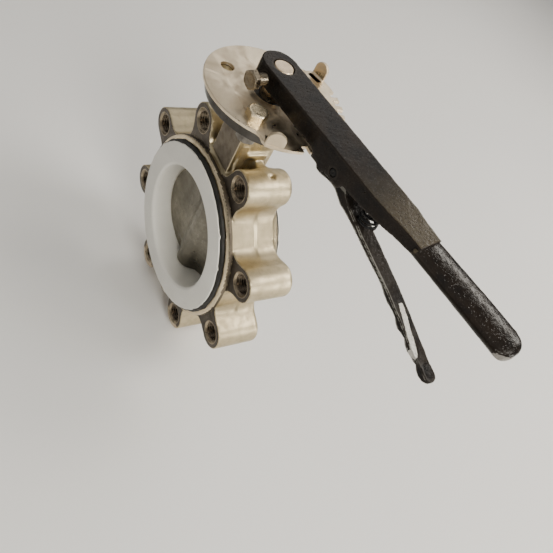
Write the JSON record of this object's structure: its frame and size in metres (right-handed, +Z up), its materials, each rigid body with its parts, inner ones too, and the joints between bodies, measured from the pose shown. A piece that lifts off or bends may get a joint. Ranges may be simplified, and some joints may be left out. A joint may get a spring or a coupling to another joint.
{
  "type": "butterfly valve",
  "caption": "Lug-type butterfly valve with a soft-seated disc, threaded lug holes, a notched top plate and a squeeze-trigger lever.",
  "frame": {"origin": "centre of the bore, on the stem axis", "axes": "+Z up the stem towards the lever, +Y along the flow from the front seat face to the rear one, +X across the pipe, where the lever points when the valve is shut"},
  "size_m": [0.3208, 0.1039, 0.2586],
  "materials": {
    "cast_stainless": "satin blasted stainless casting, warm grey",
    "disc_stainless": "machined and blasted stainless",
    "turned_stainless": "turned stainless",
    "polished_stainless": "polished stainless sheet",
    "bolt_stainless": "bright stainless fastener",
    "ptfe": "off-white PTFE, waxy",
    "black_rubber": "black rubber",
    "bronze_bush": "bronze bush",
    "black_paint": "gloss black paint over an iron casting",
    "spring_steel": "oiled spring steel"
  },
  "bodies": {
    "valve_body": {"body": "cast_stainless", "seat_liner": "ptfe", "seat_backup_ring": "black_rubber", "neck_bush_lower": "bronze_bush", "stem_seal_lower": "black_rubber", "stem_seal_upper": "black_rubber", "neck_bush_upper": "bronze_bush", "thrust_washer": "turned_stainless", "stem_retaining_ring": "spring_steel", "dust_seal": "black_rubber", "bottom_bush": "bronze_bush", "bottom_plug": "turned_stainless", "plug_gasket": "ptfe", "notch_plate": "polished_stainless", "plate_bolt_front": "bolt_stainless", "plate_bolt_rear": "bolt_stainless", "plate_washer_front": "bolt_stainless", "plate_washer_rear": "bolt_stainless", "plate_nut_front": "bolt_stainless", "plate_nut_rear": "bolt_stainless"},
    "stem_and_lever": {"disc": "disc_stainless", "upper_stem": "turned_stainless", "lower_stem": "turned_stainless", "lever_handle": "black_paint", "clamp_screw": "bolt_stainless", "pivot_pin": "turned_stainless", "trigger_spring": "spring_steel"},
    "squeeze_trigger": {"trigger": "black_paint"}
  },
  "joints": [
    {"name": "stem_turn", "type": "hinge", "parent": "valve_body", "child": "stem_and_lever", "pos_m": [0, 0, 0], "axis": [0, 0, 1], "range_deg": [-10, 80]},
    {"name": "trigger_squeeze", "type": "hinge", "parent": "stem_and_lever", "child": "squeeze_trigger", "pos_m": [0.07878, 0.01389, 0.149], "axis": [0.1736, -0.9848, 0], "range_deg": [0, 18], "stiffness_Nm_per_rad": 0.8, "springref_deg": -20.05, "deforming": ["trigger_spring"]}
  ]
}
